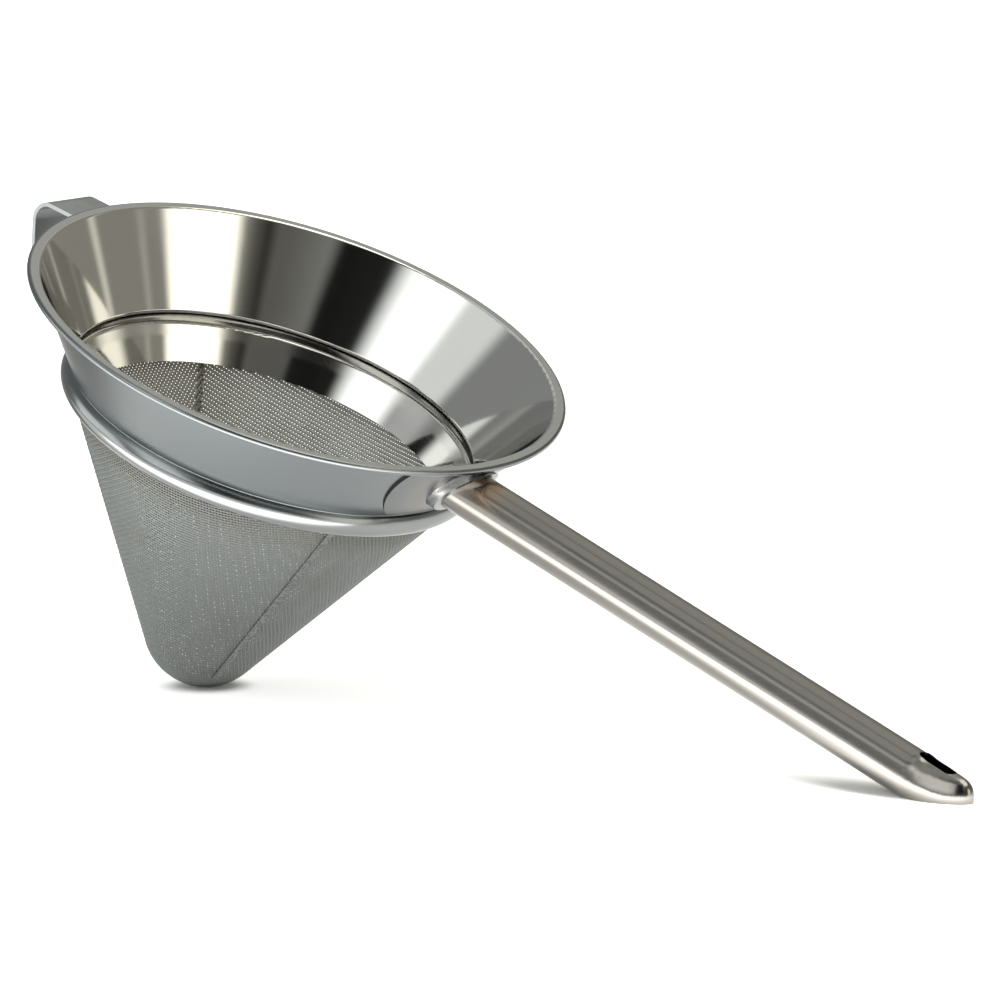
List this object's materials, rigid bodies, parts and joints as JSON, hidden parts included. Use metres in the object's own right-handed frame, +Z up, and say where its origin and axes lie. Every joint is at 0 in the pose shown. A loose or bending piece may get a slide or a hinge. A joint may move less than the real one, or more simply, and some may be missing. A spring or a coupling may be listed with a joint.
{
  "type": "chinois strainer",
  "caption": "Conical fine-mesh strainer with a flared steel collar, round tube handle and a pan hook opposite it.",
  "frame": {"origin": "on the floor plane that the nose and the handle's end stand on, under the middle of the outer box", "axes": "+X level from the mesh cone towards the handle's end, +Z up, -Y the side that the picture looks from; the strainer leans about 23 degrees, as it rests on a table"},
  "size_m": [0.4496, 0.21, 0.1809],
  "materials": {
    "polished_steel": "polished stainless sheet",
    "woven_steel": "fine woven stainless cloth",
    "seam_steel": "welded lap of the cloth",
    "tube_steel": "smooth drawn stainless",
    "weld_steel": "weld bead with heat tint"
  },
  "bodies": {
    "root": {"collar": "polished_steel", "clamp_ring": "polished_steel", "mesh_front_gore": "woven_steel", "mesh_back_gore": "woven_steel", "mesh_seam_front": "seam_steel", "mesh_seam_back": "seam_steel", "handle_tube": "tube_steel", "handle_plate": "polished_steel", "handle_weld": "weld_steel", "pan_hook": "tube_steel"}
  },
  "joints": []
}
